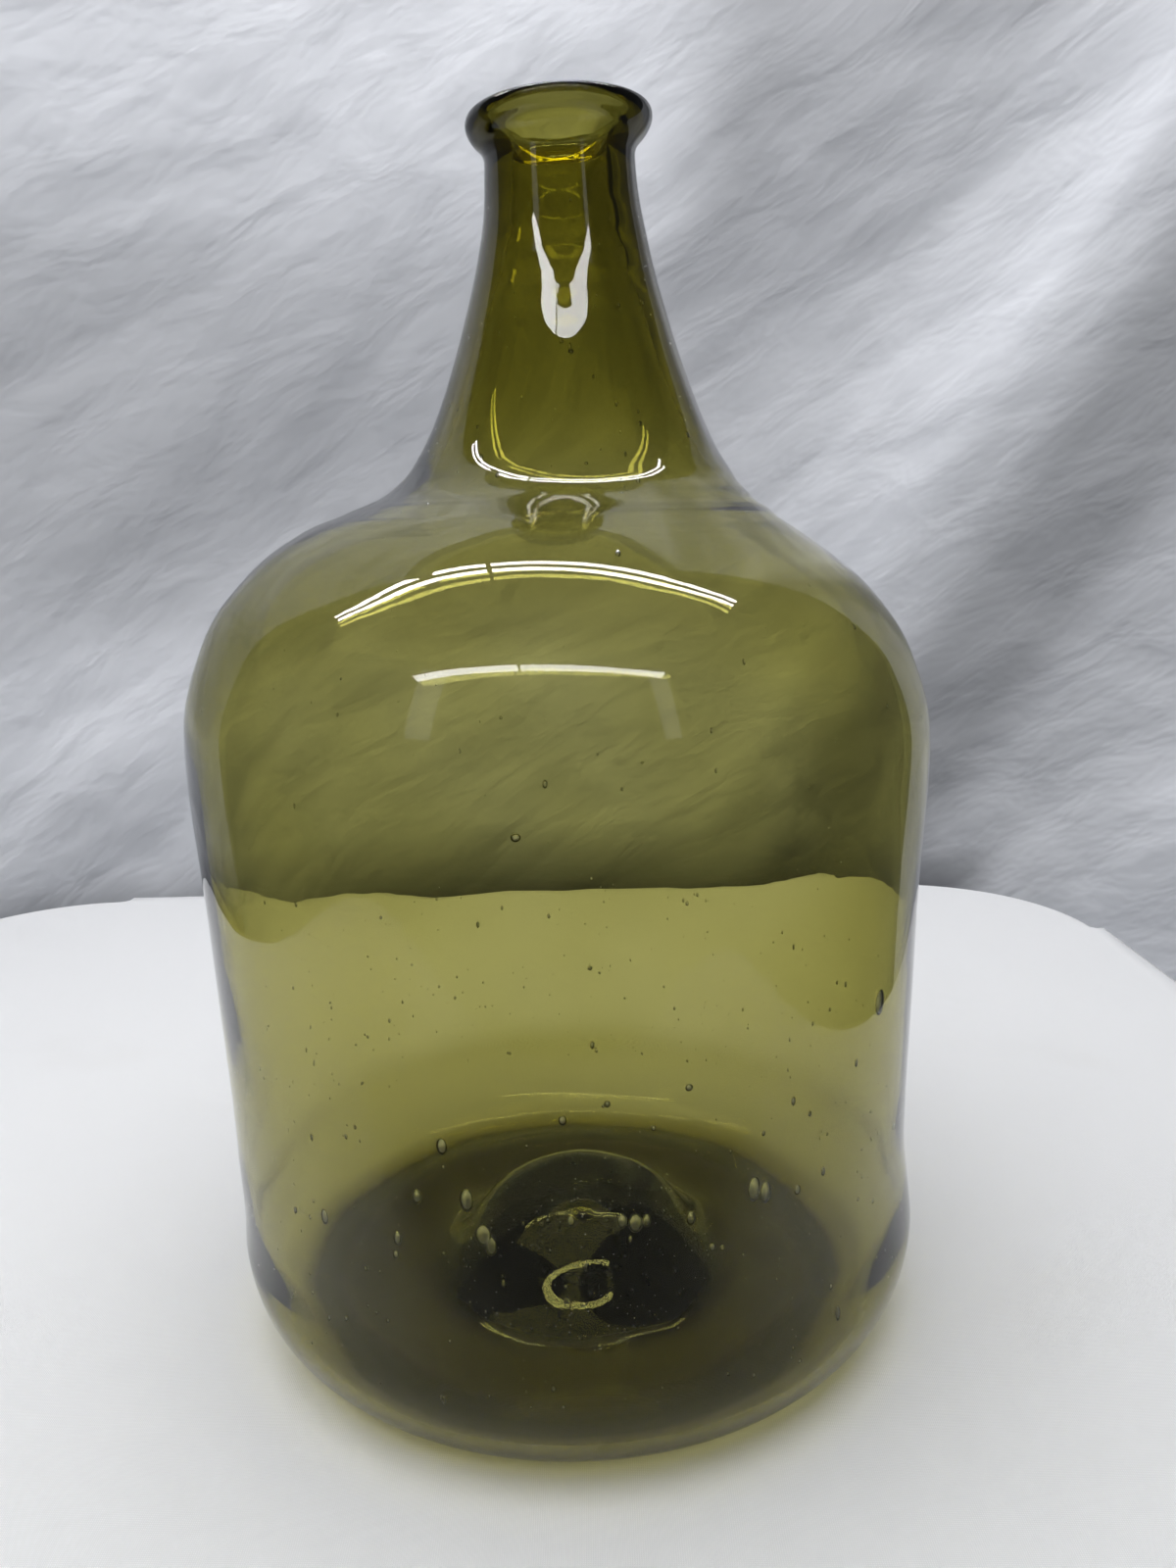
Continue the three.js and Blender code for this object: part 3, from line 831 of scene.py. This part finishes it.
creased.inputs["Distance"].default_value = 0.010
tree.links.new(place.outputs["Object"], slant.inputs["Vector"])
tree.links.new(slant.outputs["Vector"], wrinkle.inputs["Vector"])
ridges = tree.nodes.new("ShaderNodeTexNoise")
ridges.noise_type = "RIDGED_MULTIFRACTAL"
ridges.normalize = False
ridges.inputs["Scale"].default_value = 0.55
ridges.inputs["Detail"].default_value = 2.0
ridges.inputs["Distortion"].default_value = 0.4
tree.links.new(slant.outputs["Vector"], ridges.inputs["Vector"])
sharp = tree.nodes.new("ShaderNodeBump")
sharp.inputs["Strength"].default_value = 0.5
sharp.inputs["Distance"].default_value = 0.002
tree.links.new(ridges.outputs["Fac"], sharp.inputs["Height"])
tree.links.new(sharp.outputs["Normal"], creased.inputs["Normal"])
tree.links.new(wrinkle.outputs["Fac"], creased.inputs["Height"])
tree.links.new(creased.outputs["Normal"], shader.inputs["Normal"])
backdrop.data.materials.append(sheet)
backdrop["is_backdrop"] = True

# Lamps: a row of bare tubes and a row of soft panels overhead, each with a gap in it, and
# one wide soft light that the glass doesn't mirror.
LAMP_LEVEL = 2.0
BACK_ROW, FRONT_ROW = 0.22, -1.71
TUBE_SHIFT = 0.05
TUBE_WATTS = 9.0
PANEL_DEPTH = 0.16
PANEL_WATTS = 19.0
STRIP_LEVEL, STRIP_HEIGHT = 1.42, 1.05
STRIP_WATTS = 5.5
SOFT_WATTS = 30.0
SOFT_SIZE = 2.0
ROOM_LIGHT, ROOM_MIRRORED = 0.24, 0.10


def area(name, place, wide, deep, watts, aim):
    """A flat lamp at a place, turned to shine at its aim."""
    data = bpy.data.lights.new(name, "AREA")
    data.shape = "RECTANGLE"
    data.size, data.size_y = wide, deep
    data.energy = watts
    lamp = bpy.data.objects.new(name, data)
    lamp.location = place
    lamp.rotation_euler = (Vector(aim) - Vector(place)).to_track_quat("-Z", "Y").to_euler()
    bpy.context.collection.objects.link(lamp)
    return lamp


for side, start, end in (("left", -1.75, -0.36), ("right", -0.33, 1.35)):
    x = (start + end) / 2
    for k, shift in enumerate((-TUBE_SHIFT, TUBE_SHIFT)):
        lamp = area(
            f"tube_{side}_{k}", (x, BACK_ROW + shift, LAMP_LEVEL), end - start, 0.05,
            TUBE_WATTS, (x, BACK_ROW, 0.0),
        )
        lamp.visible_diffuse = False
    panel = area(
        f"panel_{side}", (x, FRONT_ROW, LAMP_LEVEL), end - start, PANEL_DEPTH, PANEL_WATTS,
        (x, FRONT_ROW * 0.99, 0.0),
    )
    panel.visible_diffuse = False
# A faint upright light stands under each end of the panels.
for side, x, wide in (("left", -1.4, 0.32), ("right", 1.2, 0.2)):
    strip = area(
        f"strip_{side}", (x, FRONT_ROW, STRIP_LEVEL), wide, STRIP_HEIGHT, STRIP_WATTS * wide,
        (x * 0.2, 0.0, 0.3),
    )
    strip.visible_diffuse = False
soft = area("soft_light", (-0.2, -0.2, 1.6), SOFT_SIZE, SOFT_SIZE, SOFT_WATTS, (0, 0, 0))
soft.visible_glossy = False

world = bpy.data.worlds.new("room")
world.use_nodes = True
world.node_tree.nodes["Background"].inputs["Color"].default_value = (0.9, 0.95, 1.0, 1)
ray = world.node_tree.nodes.new("ShaderNodeLightPath")
room_light = world.node_tree.nodes.new("ShaderNodeMapRange")
room_light.inputs["To Min"].default_value = ROOM_LIGHT
room_light.inputs["To Max"].default_value = ROOM_MIRRORED
world.node_tree.links.new(ray.outputs["Is Glossy Ray"], room_light.inputs["Value"])
world.node_tree.links.new(
    room_light.outputs["Result"], world.node_tree.nodes["Background"].inputs["Strength"]
)
bpy.context.scene.world = world

# The camera stands where the photograph was taken.
SENSOR_WIDTH = 36.0
FOCAL_PIXELS = 1202
PICTURE_HEIGHT = 1600
CAMERA_PLACE = (0.0091, -0.3912, 0.2602)
CAMERA_DOWN = math.radians(11.7)
CAMERA_ROLL = math.radians(-1.3)
camera_data = bpy.data.cameras.new("camera")
camera_data.sensor_width = SENSOR_WIDTH
camera_data.lens = SENSOR_WIDTH * FOCAL_PIXELS / PICTURE_HEIGHT
camera = bpy.data.objects.new("camera", camera_data)
camera.location = CAMERA_PLACE
camera.rotation_mode = "QUATERNION"
tilt = Quaternion((1, 0, 0), math.pi / 2 - CAMERA_DOWN)
camera.rotation_quaternion = tilt @ Quaternion((0, 0, 1), CAMERA_ROLL)
bpy.context.collection.objects.link(camera)
bpy.context.scene.camera = camera
bpy.context.scene.view_settings.view_transform = "Standard"

low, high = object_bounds()
